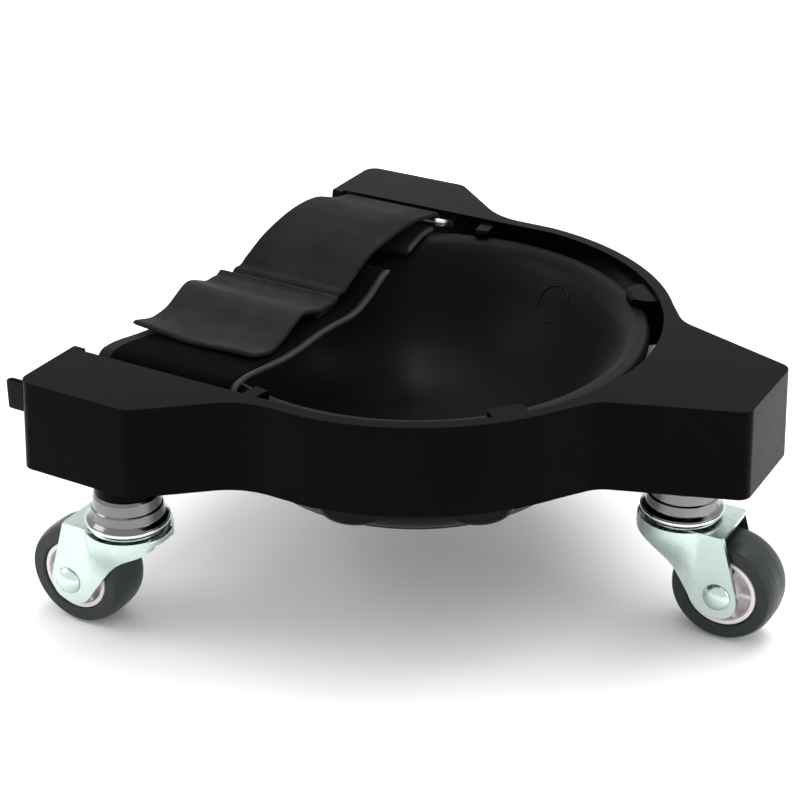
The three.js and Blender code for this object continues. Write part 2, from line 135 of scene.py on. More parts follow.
# ---- Strap sizes: paths of (y, z) points ----
STRAP_THICKNESS = 2.0
PIPING_R = 1.0
UNDER_PIPING_R = 1.15
PILE_THICKNESS = 1.5
PILE_LIFT = 0.8
FLAP_PATH = (
    (57, 88.6), (63, 90.6), (70, 92.2), (77, 92.3), (82.5, 91.8), (84.5, 92.6), (85.3, 94.6), (84.5, 96.6),
    (82.5, 97.4), (76, 98.6), (69, 100.4), (56, 102.6), (43, 103.2), (30, 102), (19, 99.8), (9, 97), (0, 94.6),
    (-8, 92.6), (-15, 92), (-20, 92),
)
TAB_PATH = (
    (-7, 96.2), (-12, 95), (-18, 94.8), (-25, 97), (-32, 98.8), (-39, 97.4), (-46, 95.2), (-54, 94.4),
    (-61, 95), (-67, 96.2),
)
LOOP_PATH = (
    (-90.8, 75), (-90.8, 84), (-90.2, 90.4), (-87.4, 94.4), (-83, 95), (-77, 94.4), (-70, 93.1), (-62, 91.7),
    (-54, 90.6), (-44, 90.1), (-30, 90.2), (-18, 89.2), (-6, 87.6), (3, 88), (12, 90.8), (20, 94.4), (25, 95.6),
)
BAIL_Y, BAIL_Z = 82.5, 94.6
BAIL_ENDS = (-33.5, -82.8)
BAIL_ROOT = (97.0, 88.9)
BAIL_BEND = 3.0
BAIL_WIRE_R = 1.5


# =====================================================================================
# Mesh helpers
# =====================================================================================
def new_object(name, points, faces, offset=CUP_CENTRE):
    mesh = bpy.data.meshes.new(name)
    mesh.from_pydata([(Vector(p) + offset) * MM for p in points], [], faces)
    mesh.validate()
    obj = bpy.data.objects.new(name, mesh)
    bpy.context.scene.collection.objects.link(obj)
    return obj


def settle(obj):
    """Turn what the modifiers make into the object's own mesh."""
    graph = bpy.context.evaluated_depsgraph_get()
    mesh = bpy.data.meshes.new_from_object(obj.evaluated_get(graph))
    obj.modifiers.clear()
    obj.data = mesh


def outward(obj):
    shape = bmesh.new()
    shape.from_mesh(obj.data)
    bmesh.ops.recalc_face_normals(shape, faces=shape.faces)
    shape.to_mesh(obj.data)
    shape.free()
    return obj


def combine(obj, tools, operation):
    """Join, or cut with, each tool in turn, and remove the tools."""
    for tool in tools:
        modifier = obj.modifiers.new("combine", "BOOLEAN")
        modifier.operation = operation
        modifier.solver = "MANIFOLD"
        modifier.object = tool
        settle(obj)
        bpy.data.objects.remove(tool, do_unlink=True)
    return obj


def round_edges(obj, width, angle=35, segments=3, width_of=None):
    """Bevel the edges sharper than an angle; width_of gives each edge's share of the width."""
    layer_name = "bevel_weight_edge"
    shape = bmesh.new()
    shape.from_mesh(obj.data)
    bmesh.ops.remove_doubles(shape, verts=shape.verts, dist=1e-6)
    bmesh.ops.dissolve_degenerate(shape, edges=shape.edges, dist=1e-6)
    layers = shape.edges.layers.float
    weights = layers.get(layer_name) or layers.new(layer_name)
    for edge in shape.edges:
        sharp = len(edge.link_faces) == 2 and edge.calc_face_angle(0) > math.radians(angle)
        share = width_of((edge.verts[0].co + edge.verts[1].co) / (2 * MM) - CUP_CENTRE) if width_of else 1.0
        edge[weights] = share if sharp else 0.0
    shape.to_mesh(obj.data)
    shape.free()
    modifier = obj.modifiers.new("round", "BEVEL")
    modifier.limit_method = "WEIGHT"
    modifier.width = width * MM
    modifier.segments = segments
    modifier.use_clamp_overlap = True
    settle(obj)
    return smooth(obj)


def smooth(obj, angle=42):
    obj.data.shade_smooth()
    obj.data.set_sharp_from_angle(angle=math.radians(angle))
    modifier = obj.modifiers.new("normals", "WEIGHTED_NORMAL")
    modifier.keep_sharp = True
    return obj


def rounded_outline(corners, steps=8):
    """Closed outline through corners (x, y, radius), each rounded with an arc of that radius."""
    points = []
    for i, (x, y, radius) in enumerate(corners):
        here = Vector((x, y))
        if radius == 0:
            points.append(here)
            continue
        before = (Vector(corners[i - 1][:2]) - here).normalized()
        after = (Vector(corners[(i + 1) % len(corners)][:2]) - here).normalized()
        half = before.angle(after) / 2
        centre = here + (before + after).normalized() * radius / math.sin(half)
        start = here + before * radius / math.tan(half) - centre
        end = here + after * radius / math.tan(half) - centre
        turn = start.angle_signed(end)
        for k in range(steps + 1):
            spun = Matrix.Rotation(-turn * k / steps, 2) @ start
            points.append(centre + spun)
    return points


def mirrored(corners):
    return list(corners) + [(x, -y, r) for x, y, r in reversed(corners)]


def prism(name, outline, low, high, low_scale=1.0, offset=CUP_CENTRE):
    """An upright solid over an outline; low_scale gives a moulding its draft."""
    count = len(outline)
    points = [(x * low_scale, y * low_scale, low) for x, y in outline] + [(x, y, high) for x, y in outline]
    walls = [(i, (i + 1) % count, count + (i + 1) % count, count + i) for i in range(count)]
    caps = [tuple(reversed(range(count))), tuple(range(count, 2 * count))]
    return outward(new_object(name, points, walls + caps, offset))


def moved(obj, matrix):
    """Turn or shift a mesh by a matrix that works in millimetres about the cup's centre."""
    shift = Matrix.Translation(CUP_CENTRE * MM)
    scaled = matrix.copy()
    scaled.translation = matrix.translation * MM
    obj.data.transform(shift @ scaled @ shift.inverted())
    return obj


ALONG_X = Matrix(((0, 0, 1, 0), (1, 0, 0, 0), (0, 1, 0, 0), (0, 0, 0, 1)))
ALONG_Y = Matrix(((1, 0, 0, 0), (0, 0, -1, 0), (0, 1, 0, 0), (0, 0, 0, 1)))


def box_solid(x, y, z, offset=CUP_CENTRE):
    outline = [Vector(c) for c in ((x[0], y[0]), (x[1], y[0]), (x[1], y[1]), (x[0], y[1]))]
    return prism("box", outline, z[0], z[1], offset=offset)


def cylinder(radius, low, high, x=0, y=0, segments=48, offset=CUP_CENTRE):
    angles = [2 * math.pi * i / segments for i in range(segments)]
    outline = [Vector((x + radius * math.cos(a), y + radius * math.sin(a))) for a in angles]
    return prism("cylinder", outline, low, high, offset=offset)


def lathe(name, profile, segments=96, offset=CUP_CENTRE, bend=None):
    """Turn a closed (radius, z) profile about Z; points at radius 0 become one vertex."""
    points, rows = [], []
    for r, z in profile:
        if r < 1e-6:
            rows.append([len(points)] * segments)
            points.append(Vector((0, 0, z)))
            continue
        rows.append(list(range(len(points), len(points) + segments)))
        for i in range(segments):
            angle = 2 * math.pi * i / segments
            points.append(Vector((r * math.cos(angle), r * math.sin(angle), z)))
    faces = []
    for a, b in zip(rows, rows[1:] + rows[:1]):
        for i in range(segments):
            j = (i + 1) % segments
            corner = list(dict.fromkeys((a[i], a[j], b[j], b[i])))
            if len(corner) > 2:
                faces.append(corner)
    if bend:
        points = [bend(p) for p in points]
    return outward(new_object(name, points, faces, offset))


def fine_line(points, steps=6):
    """A smooth line through points (Catmull-Rom)."""
    points = [Vector(p) for p in points]
    padded = [points[0] * 2 - points[1]] + points + [points[-1] * 2 - points[-2]]
    line = []
    for a, b, c, d in zip(padded, padded[1:], padded[2:], padded[3:]):
        for k in range(steps):
            t = k / steps
            bend = (2 * a - 5 * b + 4 * c - d) * t * t + (3 * b - a - 3 * c + d) * t ** 3
            line.append(0.5 * (2 * b + (c - a) * t + bend))
    return line + [points[-1]]


def beside(line, distance):
    """The line moved to its left by a distance."""
    moved_line = []
    for i, point in enumerate(line):
        tangent = (line[min(i + 1, len(line) - 1)] - line[max(i - 1, 0)]).normalized()
        moved_line.append(point + Vector((-tangent.y, tangent.x)) * distance)
    return moved_line


def smoothstep(value, low, high):
    t = min(max((value - low) / (high - low), 0), 1)
    return t * t * (3 - 2 * t)


def on_circle(radius, degrees):
    return radius * math.cos(math.radians(degrees)), radius * math.sin(math.radians(degrees))


# =====================================================================================
# Materials
# =====================================================================================
class Look:
    """A node material built step by step on one Principled shader."""

    def __init__(self, name, metallic=0.0, **constants):
        self.material = bpy.data.materials.new(name)
        self.material.use_nodes = True
        self.nodes = self.material.node_tree.nodes
        self.links = self.material.node_tree.links
        self.shader = self.nodes["Principled BSDF"]
        self.shader.inputs["Metallic"].default_value = metallic
        for socket, value in constants.items():
            self.shader.inputs[socket.replace("_", " ")].default_value = value
        self.place = self.nodes.new("ShaderNodeTexCoord")
        self.bumps = None

    def stretched(self, scale, kind="Object"):
        mapping = self.nodes.new("ShaderNodeMapping")
        mapping.inputs["Scale"].default_value = scale
        self.links.new(self.place.outputs[kind], mapping.inputs["Vector"])
        return mapping.outputs["Vector"]

    def noise(self, scale, detail=3.0, rough=0.5, vector=None):
        node = self.nodes.new("ShaderNodeTexNoise")
        node.inputs["Scale"].default_value = scale
        node.inputs["Detail"].default_value = detail
        node.inputs["Roughness"].default_value = rough
        self.links.new(vector or self.place.outputs["Object"], node.inputs["Vector"])
        return node.outputs["Fac"]

    def wave(self, scale, direction, vector, distortion=0.0):
        node = self.nodes.new("ShaderNodeTexWave")
        node.bands_direction = direction
        node.inputs["Scale"].default_value = scale
        node.inputs["Distortion"].default_value = distortion
        self.links.new(vector, node.inputs["Vector"])
        return node.outputs["Fac"]

    def cells(self, scale, vector=None):
        node = self.nodes.new("ShaderNodeTexVoronoi")
        node.inputs["Scale"].default_value = scale
        self.links.new(vector or self.place.outputs["Object"], node.inputs["Vector"])
        return node.outputs["Distance"]

    def math(self, operation, a, b):
        node = self.nodes.new("ShaderNodeMath")
        node.operation = operation
        for socket, value in zip(node.inputs, (a, b)):
            if isinstance(value, (int, float)):
                socket.default_value = value
            else:
                self.links.new(value, socket)
        return node.outputs["Value"]

    def ranged(self, value, low, high, start=0.3, end=0.7):
        node = self.nodes.new("ShaderNodeMapRange")
        for socket, number in zip(("From Min", "From Max", "To Min", "To Max"), (start, end, low, high)):
            node.inputs[socket].default_value = number
        self.links.new(value, node.inputs["Value"])
        return node.outputs["Result"]

    def colour(self, value, dark, light):
        node = self.nodes.new("ShaderNodeMix")
        node.data_type = "RGBA"
        node.inputs["A"].default_value = (*dark, 1)
        node.inputs["B"].default_value = (*light, 1)
        self.links.new(value, node.inputs["Factor"])
        self.links.new(node.outputs["Result"], self.shader.inputs["Base Color"])

    def roughness(self, value, low, high):
        self.links.new(self.ranged(value, low, high), self.shader.inputs["Roughness"])

    def bump(self, value, strength, depth):
        """Depth in millimetres."""
        node = self.nodes.new("ShaderNodeBump")
        node.inputs["Strength"].default_value = strength
        node.inputs["Distance"].default_value = depth * MM
        self.links.new(value, node.inputs["Height"])
        if self.bumps:
            self.links.new(self.bumps, node.inputs["Normal"])
        self.bumps = node.outputs["Normal"]
        self.links.new(self.bumps, self.shader.inputs["Normal"])


def moulded_plastic(name, dark, light, rough, grain_depth, specular):
    look = Look(name, IOR=1.5, Specular_IOR_Level=specular)
    clouds = look.noise(18, 4)
    look.colour(look.ranged(clouds, 0, 1), dark, light)
    look.roughness(look.noise(55, 5, 0.65), *rough)
    look.bump(look.noise(1500, 2, 0.6), 0.5, grain_depth)
    look.bump(look.noise(28, 2), 0.25, 0.12)
    return look.material


def soft_rubber(name):
    look = Look(name, IOR=1.48, Specular_IOR_Level=0.07, Sheen_Weight=0.03, Sheen_Roughness=0.4)
    look.colour(look.ranged(look.noise(14, 5), 0, 1), (0.0015, 0.0015, 0.0016), (0.003, 0.003, 0.0032))
    look.roughness(look.noise(40, 5, 0.6), 0.34, 0.48)
    look.bump(look.cells(1300), 0.25, 0.03)
    look.bump(look.noise(30, 2), 0.3, 0.25)
    return look.material


def woven(name, dark, light, pitch, depth, rough):
    """Plain weave whose threads follow the band's own length and width."""
    look = Look(name, IOR=1.45, Specular_IOR_Level=0.1, Sheen_Weight=0.02, Sheen_Roughness=0.5)
    flat = look.stretched((1, 1, 1), "UV")
    warp = look.wave(1 / pitch, "X", flat)
    weft = look.wave(1 / pitch, "Y", flat)
    weave = look.math("MULTIPLY", warp, weft)
    mottled = look.math("ADD", look.math("MULTIPLY", weave, 0.5), look.noise(60, 5, 0.7))
    look.colour(look.ranged(mottled, 0, 1, 0.35, 1.0), dark, light)
    look.roughness(look.noise(90, 4), *rough)
    look.bump(weave, 0.6, depth)
    look.bump(look.noise(35, 3), 0.35, 0.35)
    return look.material


def loop_pile(name):
    look = Look(name, IOR=1.4, Specular_IOR_Level=0.02, Sheen_Weight=0.008, Sheen_Roughness=0.6)
    tufts = look.cells(900)
    fuzz = look.noise(2200, 3, 0.8)
    mixed = look.math("ADD", look.math("MULTIPLY", tufts, 0.6), look.math("MULTIPLY", fuzz, 0.6))
    look.colour(look.ranged(mixed, 0, 1, 0.3, 0.9), (0.0002, 0.0002, 0.0002), (0.0014, 0.0014, 0.0015))
    look.roughness(fuzz, 0.85, 1.0)
    look.bump(mixed, 1.0, 0.5)
    return look.material


def plated(name, dark, light, rough, lines=(1, 1, 1), scratch=0.02):
    look = Look(name, metallic=1.0)
    look.colour(look.ranged(look.noise(35, 4), 0, 1), dark, light)
    streaks = look.noise(260, 4, 0.6, look.stretched(lines))
    look.roughness(streaks, *rough)
    look.bump(streaks, 0.3, scratch)
    return look.material


def tyre_urethane(name):
    look = Look(name, IOR=1.5, Specular_IOR_Level=0.3)
    look.colour(look.ranged(look.noise(40, 5), 0, 1), (0.010, 0.0150, 0.0142), (0.018, 0.0255, 0.0242))
    look.roughness(look.noise(120, 5, 0.7), 0.32, 0.5)
    look.bump(look.noise(700, 3), 0.3, 0.04)
    return look.material


def hub_plastic(name):
    look = Look(name, IOR=1.46, Subsurface_Weight=0.15, Subsurface_Scale=0.002)
    look.colour(look.ranged(look.noise(50, 4), 0, 1), (0.72, 0.66, 0.67), (0.84, 0.79, 0.80))
    look.roughness(look.noise(90, 4), 0.28, 0.42)
    look.bump(look.noise(500, 2), 0.2, 0.03)
    return look.material


LOOKS = {
    "frame": moulded_plastic(
        "frame_plastic", (0.0005, 0.0005, 0.0006), (0.0012, 0.0012, 0.0013), (0.2, 0.3), 0.02, 0.032),
    "shell": moulded_plastic(
        "shell_plastic", (0.001, 0.001, 0.0011), (0.0022, 0.0022, 0.0024), (0.2, 0.34), 0.02, 0.1),
    "liner": soft_rubber("liner_rubber"),
    "strap": woven("strap_weave", (0.0018, 0.0018, 0.002), (0.0065, 0.0065, 0.0068), 0.0011, 0.12, (0.6, 0.8)),
    "tab": woven("tab_weave", (0.005, 0.005, 0.0053), (0.0145, 0.0145, 0.0149), 0.0009, 0.08, (0.55, 0.75)),
    "edge": woven("binding_weave", (0.004, 0.004, 0.0042), (0.011, 0.011, 0.0114), 0.0007, 0.08, (0.6, 0.8)),
    "loop": loop_pile("loop_pile"),
    "binding": woven("binding_tape", (0.02, 0.02, 0.0208), (0.042, 0.042, 0.043), 0.0006, 0.05, (0.5, 0.7)),
    "thread": woven("sewing_thread", (0.010, 0.010, 0.0105), (0.026, 0.026, 0.027), 0.0004, 0.05, (0.5, 0.7)),
    "zinc": plated("zinc_plate", (0.52, 0.63, 0.60), (0.66, 0.77, 0.74), (0.18, 0.34), (1, 1, 0.15)),
    "chrome": plated("chrome_plate", (0.72, 0.72, 0.73), (0.86, 0.86, 0.87), (0.06, 0.16), (1, 1, 0.3), 0.008),
    # Chrome with its colour darkened: a painted dark reflection of the black frame above the race dome.
    "chrome_painted_dark": plated(
        "chrome_painted_dark_reflection", (0.13, 0.13, 0.135), (0.24, 0.24, 0.245), (0.08, 0.2), (1, 1, 0.3), 0.01),
    "steel": plated("turned_steel", (0.42, 0.43, 0.44), (0.6, 0.6, 0.61), (0.22, 0.4)),
    "hub": hub_plastic("hub_plastic"),
    "tyre": tyre_urethane("tyre_urethane"),
}


def dress(obj, look, body, slot, *nodes):
    obj.data.materials.clear()
    obj.data.materials.append(LOOKS[look])
    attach(obj, body)
    if nodes:
        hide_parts(*nodes)
    return obj


# =====================================================================================
# Moulded frame
# =====================================================================================
def frame_outline():
    """The frame from above: a ring with one lobe in front and two behind."""
    ring = [(*on_circle(RING_R, 31 + i * 52.8 / 24), 0) for i in range(25)]
    corners = [(FRONT_END_X, FRONT_HALF_WIDTH, 5), (*FRONT_ROOT, 14), *ring, (*LOBE_ROOT, 28)]
    corners += [(LOBE_FRONT_X, LOBE_OUTER_Y, 7), (REAR_X, LOBE_OUTER_Y, 5)]
    return rounded_outline(mirrored(corners))


def opening_outline():
    """The hole inside the ring, which runs on between the rear lobes."""
    meet = math.degrees(math.asin(LOBE_INNER_Y / RING_INNER_R))
    arc = [(*on_circle(RING_INNER_R, meet * (i + 0.5) / 40), 0) for i in range(40)]
    tangent = (RING_INNER_R * math.cos(math.radians(meet)), LOBE_INNER_Y, 0)
    return rounded_outline(mirrored([*arc, tangent, (REAR_X + SILL_THICKNESS, LOBE_INNER_Y, 1.2)]))


def inset(outline, distance):
    """The outline moved inwards by a wall's thickness."""
    count = len(outline)
    points = []
    for i, point in enumerate(outline):
        arriving = (point - outline[i - 1]).normalized()
        leaving = (outline[(i + 1) % count] - point).normalized()
        normal = Vector((-arriving.y - leaving.y, arriving.x + leaving.x)).normalized()
        points.append(point + normal * distance / normal.dot(Vector((-arriving.y, arriving.x))))
    return points


def rim_clip(degrees):
    """A C-shaped bracket on the ring that carries the cup's rim and hooks over it."""
    corners = [
        (RING_INNER_R + 1.5, 76), (89, 76), (84.2, 83), (84.2, 85.4), (87.4, 85.4), (87.4, 91.3), (83.4, 91.3),
        (83.4, 93.4), (84.6, 94.6), (RING_INNER_R + 1.5, 94.6),
    ]
    bracket = moved(prism("clip", [Vector(c) for c in corners], -CLIP_WIDTH, CLIP_WIDTH), ALONG_Y)
    half, round_end = (CLIP_WIDTH * 0.75, 7.5) if degrees > 0 else (CLIP_WIDTH * 0.6, 3)
    if abs(degrees) > 90:
        half, round_end = CLIP_WIDTH * 0.25, 1.5
    near, far = 83, 96
    plan = [(near, -half, round_end), (near, half, round_end), (far, half, 0), (far, -half, 0)]
    combine(bracket, [prism("plan", rounded_outline(plan), 70, 100)], "INTERSECT")
    return moved(bracket, Matrix.Rotation(math.radians(degrees), 4, "Z"))


def caster_place(side):
    """Swivel axis and the way the wheel trails, as a matrix in millimetres."""
    axis = middle(f"stem_{side}")
    trail = middle(f"axle_{side}").x - axis.x
    turn = 0 if trail > 0 else math.pi
    return Matrix.Translation((axis.x, axis.y, 0)) @ Matrix.Rotation(turn, 4, "Z")


def caster_centre(side):
    axis = middle(f"stem_{side}") - CUP_CENTRE
    return axis.x, axis.y


def make_frame():
    outline = frame_outline()
    body = prism("frame_moulding", outline, SKIRT_Z, DECK_Z, SKIRT_DRAFT)
    hollow = prism("hollow", inset(outline, WALL), SKIRT_Z - 5, DECK_Z - WALL)
    inner = LOBE_INNER_Y + WALL
    combine(hollow, [cylinder(RING_R, 0, DECK_Z + 9, segments=144)], "DIFFERENCE")
    combine(hollow, [box_solid((-110, 0), (-inner, inner), (0, DECK_Z + 9))], "DIFFERENCE")
    saddle_line = rounded_outline(SADDLE_LINE)
    saddle = moved(prism("saddle", saddle_line, REAR_X - 9, REAR_X + SILL_THICKNESS + 4), ALONG_X)
    opening = prism("opening", opening_outline(), SKIRT_Z - 5, DECK_Z + 5)
    combine(body, [opening, hollow, saddle], "DIFFERENCE")
    ribs = (SKIRT_Z + 4, DECK_Z - 1)
    lobe_y = (LOBE_INNER_Y + LOBE_OUTER_Y) / 2
    front_x = caster_centre("front")[0]
    added = [cylinder(BOSS_R, BOSS_Z, DECK_Z - 1, *caster_centre(side)) for side in SIDES]
    for y in (lobe_y, -lobe_y):
        added.append(box_solid((REAR_X + 1, REAR_RIB_FRONT_X), (y - RIB / 2, y + RIB / 2), ribs))
    added.append(box_solid((RING_R - 2, FRONT_END_X - 1), (-RIB / 2, RIB / 2), ribs))
    added.append(box_solid((front_x - RIB / 2, front_x + RIB / 2), (-FRONT_RIB_HALF, FRONT_RIB_HALF), ribs))
    added += [rim_clip(angle) for angle in CLIP_ANGLES]
    combine(body, added, "UNION")
    holes = [cylinder(INSERT_HOLE_R, BOSS_Z - 1, INSERT_HOLE_TOP, *caster_centre(side)) for side in SIDES]
    tail = middle("strap_tail") - CUP_CENTRE
    half_y, half_z = TAIL_SLOT_HALF
    slot = (tail.y - half_y, tail.y + half_y), (tail.z - half_z, tail.z + half_z)
    holes.append(box_solid((REAR_X - 4, REAR_X + 8), *slot))
    combine(body, holes, "DIFFERENCE")

    def share(point):
        """Deck edges are the roundest, then the skirt's lower edge, then the corners between walls."""
        if point.z > DECK_Z - 0.5:
            return 1.0
        return 0.55 if point.z < SKIRT_Z + 0.5 else 0.3

    round_edges(body, EDGE_ROUND, 35, 4, share)
    return dress(body, "frame", "platform", "frame_plastic", "frame")


# =====================================================================================
# Knee cup
# =====================================================================================
def lower_the_back(point):
    """The cup is lower where the shin leaves it; its middle stays level."""
    reach = smoothstep(math.hypot(point.x, point.y), 0, CUP_LEVEL_R)
    drop = smoothstep(abs(math.atan2(point.y, point.x)), *CUP_DROP) * reach
    scale = 1 - (1 - CUP_REAR_SCALE) * drop
    return Vector((point.x, point.y, CUP_FLOOR_Z + (point.z - CUP_FLOOR_Z) * scale))


def bowl_profile(inside, outside):
    """Closed profile between two offsets of the cup's line, with a round rim."""
    line = fine_line(CUP_LINE, 5)
    lower, upper = beside(line, inside), beside(line, outside)
    lower[0].x = upper[0].x = 0
    middle_of_rim = (lower[-1] + upper[-1]) / 2
    half = (upper[-1] - lower[-1]).length / 2
    rim = [middle_of_rim + half * Vector((math.cos(a), math.sin(a))) for a in (-math.pi / 3, 0, math.pi / 3)]
    return [tuple(p) for p in lower + rim + upper[::-1]]


def make_cup():
    shell = lathe("cup_pan", bowl_profile(0, SHELL_THICKNESS), CUP_SEGMENTS, bend=lower_the_back)
    line = fine_line(CUP_LINE, 5)
    upper = [tuple(p) for p in beside(line, SHELL_THICKNESS * 0.6)]
    cavity = [(0, upper[0][1])] + upper[1:] + [(upper[-1][0], 120), (0, 120)]
    inside = lathe("inside", cavity, CUP_SEGMENTS, bend=lower_the_back)
    feet = []
    for angle in FOOT_ANGLES:
        x, y = on_circle(FOOT_RING_R, angle)
        foot = lathe("foot", [
            (0, FOOT_Z), (FOOT_R - 3.2, FOOT_Z), (FOOT_R - 1.4, FOOT_Z + 0.6), (FOOT_R - 0.3, FOOT_Z + 2),
            (FOOT_R, FOOT_Z + 4), (FOOT_R, FOOT_Z + 16), (0, FOOT_Z + 16),
        ], 40)
        feet.append(moved(foot, Matrix.Translation((x, y, 0))))
    ring = feet[0]
    combine(ring, feet[1:], "UNION")
    combine(ring, [inside], "DIFFERENCE")
    combine(shell, [ring], "UNION")
    smooth(shell, 40)
    dress(shell, "shell", "platform", "shell_plastic", "cup_shell")
    under = [tuple(p) for p in beside(line, SHELL_THICKNESS + LINER_GAP)]
    under[0] = (0, under[0][1])
    rim = [(p.x, p.y) for p in fine_line((under[-1], (88.0, 89.6), (86.6, 91.0), (83, 91.1)), 5)[1:-1]]
    face = [(max(p.x, 0), p.y) for p in fine_line(PAD_FACE, 6)]
    liner = lathe("knee_pad", under + rim + face, 192, bend=lower_the_back)
    smooth(liner, 60)
    dress(liner, "liner", "platform", "liner_rubber", "cup_liner")


# =====================================================================================
# Strap
# =====================================================================================
def sheet_of_rings(name, rings, flat):
    """A closed surface over rings of points, with UVs in metres."""
    count = len(rings[0])
    points = [point for ring in rings for point in ring]
    faces = []
    for i in range(len(rings) - 1):
        a, b = i * count, (i + 1) * count
        faces += [(a + k, a + (k + 1) % count, b + (k + 1) % count, b + k) for k in range(count)]
    faces += [tuple(range(count)), tuple(range(len(points) - count, len(points)))]
    obj = outward(new_object(name, points, faces))
    layer = obj.data.uv_layers.new(name="flat")
    for loop in obj.data.loops:
        layer.data[loop.index].uv = flat[loop.vertex_index]
    return smooth(obj, 60)


def running_lengths(line):
    lengths = [0.0]
    for a, b in zip(line, line[1:]):
        lengths.append(lengths[-1] + (b - a).length)
    return lengths


# Two ways to lay a band: its path in YZ and its width along X, or its path in XY and its width along Z.
def across_yz(point, x):
    return Vector((x, point.x, point.y))


def across_xy(point, z):
    return Vector((point.x, point.y, z))


def band(name, path, edges, side, thickness=STRAP_THICKNESS, lift=None, across=24, steps=6, lay=across_yz):
    """A flat strap along a path, with round edges and ends.

    edges(share) gives where its two edges are at a share of its length. side is the sign of the path's outer
    face, and lift(share, t) is how far that face rises at a share t of its width. Returns the strap and its
    flat length in metres."""
    line = fine_line(path, steps)
    lengths = running_lengths(line)
    half = thickness / 2
    turns = (0.9, 0.0, -0.9)
    rings, flat = [], []
    for i, point in enumerate(line):
        tangent = (line[min(i + 1, len(line) - 1)] - line[max(i - 1, 0)]).normalized()
        normal = Vector((-tangent.y, tangent.x)) * side
        share = lengths[i] / lengths[-1]
        to_end = min(lengths[i], lengths[-1] - lengths[i]) / half
        thin = 0.3 + 0.7 * math.sqrt(1 - (1 - min(to_end, 1)) ** 2)
        start, end = edges(share)
        spread = [k / across for k in range(across + 1)]
        ring = [(start + half + (end - start - thickness) * t, half, t) for t in spread]
        ring += [(end - half + half * math.cos(a), half * math.sin(a), 1.0) for a in turns]
        ring += [(x, -height, t) for x, height, t in reversed(ring[:across + 1])]
        ring += [(start + half - half * math.cos(a), half * math.sin(a), 0.0) for a in reversed(turns)]
        rises = [height * thin + (lift(share, t) if lift else 0) for x, height, t in ring]
        rings.append([lay(point + normal * rise, place[0]) for rise, place in zip(rises, ring)])
        flat += [(lengths[i] * MM, x * MM) for x, height, t in ring]
    return sheet_of_rings(name, rings, flat), lengths[-1] * MM


def tube(name, line, radius, sides=12):
    """A round wire, cord or thread along a line of points."""
    line = [Vector(p) for p in line]
    lengths = running_lengths(line)
    rings, flat = [], []
    across = Vector((0.3, 0.2, 1)).normalized()
    for i, point in enumerate(line):
        tangent = (line[min(i + 1, len(line) - 1)] - line[max(i - 1, 0)]).normalized()
        across = (across - tangent * across.dot(tangent)).normalized()
        other = tangent.cross(across)
        size = radius * (0.6 if i in (0, len(line) - 1) else 1.0)
        angles = [2 * math.pi * k / sides for k in range(sides)]
        rings.append([point + (across * math.cos(a) + other * math.sin(a)) * size for a in angles])
        flat += [(lengths[i] * MM, a * radius * MM) for a in angles]
    return sheet_of_rings(name, rings, flat)


def gathered(name, objects):
    """One object from several that don't touch."""
    for obj in objects:
        obj.modifiers.clear()
    with bpy.context.temp_override(active_object=objects[0], selected_editable_objects=objects):
        bpy.ops.object.join()
    objects[0].name = name
    return smooth(objects[0], 60)


def bump_at(value, place, width):
    return math.exp(-((value - place) / width) ** 2)


# Each band's rear and front edge along X, and how far its face rises above its path.
def flap_edges(share):
    return -80.5, -36 + 4.5 * smoothstep(share, 0.45, 0.95)


def flap_lift(share, t):
    top = smoothstep(share, 0.31, 0.44)
    swell = 2.2 * (1 - t) ** 1.6 * top * (1 - smoothstep(share, 0.7, 0.9))
    droop = -2.4 * smoothstep(t, 0.76, 1) * bump_at(share, 0.53, 0.12)
    ridge = 1.0 * bump_at(share, 0.868, 0.014) - 0.5 * bump_at(share, 0.835, 0.014)
    soft = 0.3 * math.sin(15 * share + 2.3 * t) * math.sin(3.1 * t + 0.6) * top
    return swell + droop + ridge * top + soft


def tab_edges(share):
    rear = -83.5 + 1.2 * smoothstep(share, 0.1, 0.5)
    front = -29 - 1.6 * bump_at(share, 0.2, 0.2) + 1.2 * bump_at(share, 0.85, 0.12)
    return rear, front


def tab_lift(share, t):
    tip = smoothstep(share, 0.78, 1)
    curl = tip * (1.5 * (1 - t) ** 2 - 0.8 * bump_at(t, 0.45, 0.2) + 0.4 * t * t)
    crest = 1.5 * (1 - t) * bump_at(share, 0.42, 0.14)
    soft = 0.25 * math.sin(9 * share + 4 * t) * smoothstep(share, 0, 0.15)
    return curl + crest + soft - 0.6 * bump_at(share, 0.06, 0.03)


def loop_edges(share):
    return -81.5, -22 - 2 * smoothstep(share, 0.08, 0.3) - 1.4 * smoothstep(share, 0.5, 0.8)


def front_edge_line(path, edges, out, side, begin=0.0, end=1.0):
    """A line along a band's front edge, a distance out from its middle line."""
    line = fine_line(path, 6)
    lengths = running_lengths(line)
    points = []
    for i, point in enumerate(line):
        share = lengths[i] / lengths[-1]
        if begin <= share <= end:
            tangent = (line[min(i + 1, len(line) - 1)] - line[max(i - 1, 0)]).normalized()
            lifted = point + Vector((-tangent.y, tangent.x)) * side * out
            points.append((edges(share)[1] - 0.5, lifted.x, lifted.y))
    return points


def stitches_across(name, y, z_at, xs, pitch=2.4):
    """A row of stitches across a band."""
    row, x = [], xs[0]
    thread_r = 0.22
    humps = ((-0.8, -0.2), (-0.5, 0.08), (0, 0.16), (0.5, 0.08), (0.8, -0.2))
    while x < xs[1]:
        row.append(tube("stitch", [(x + u, y, z_at(x) + up) for u, up in humps], thread_r, 6))
        x += pitch
    return dress(gathered(name, row), "thread", "strap", "strap_fabric")


